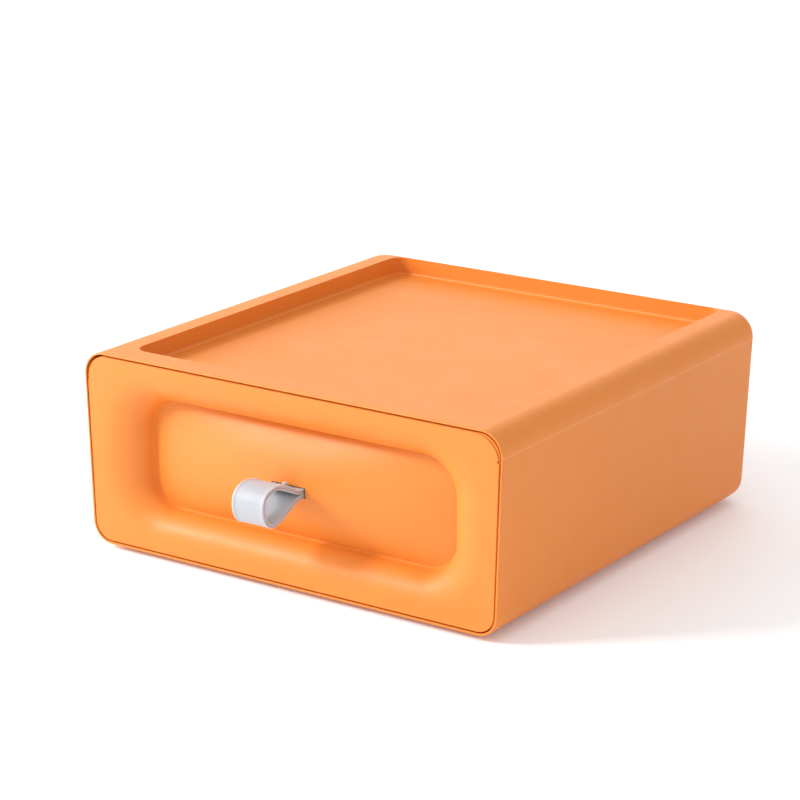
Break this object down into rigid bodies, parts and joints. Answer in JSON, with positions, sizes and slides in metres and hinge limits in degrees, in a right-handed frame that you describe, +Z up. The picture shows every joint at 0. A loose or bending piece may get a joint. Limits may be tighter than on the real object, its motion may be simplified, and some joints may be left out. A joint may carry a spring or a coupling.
{
  "type": "stackable drawer box",
  "caption": "Low stackable storage box with one sliding drawer, a sculpted drawer front and a soft pull loop.",
  "frame": {"origin": "on the ground under the middle of the whole box, its pull loop included", "axes": "+X to the right seen from the front, +Y to the back, +Z up; the drawer opens towards -Y"},
  "size_m": [0.24, 0.2712, 0.1],
  "materials": {
    "sleeve_plastic": "fine satin moulded plastic",
    "front_plastic": "fine satin moulded plastic",
    "tray_plastic": "fine satin moulded plastic",
    "strap_rubber": "matt pale grey elastomer",
    "pin_steel": "bright drawn bar",
    "foot_rubber": "matt grey elastomer"
  },
  "bodies": {
    "housing": {"sleeve": "sleeve_plastic", "foot_front_left": "foot_rubber", "foot_front_right": "foot_rubber", "foot_rear_left": "foot_rubber", "foot_rear_right": "foot_rubber"},
    "drawer": {"drawer_tray": "tray_plastic", "drawer_front": "front_plastic", "pull_strap": "strap_rubber", "strap_pin": "pin_steel"}
  },
  "joints": [
    {"name": "drawer_slide", "type": "slide", "parent": "housing", "child": "drawer", "axis": [0, -1, 0], "range_m": [0, 0.19]}
  ]
}
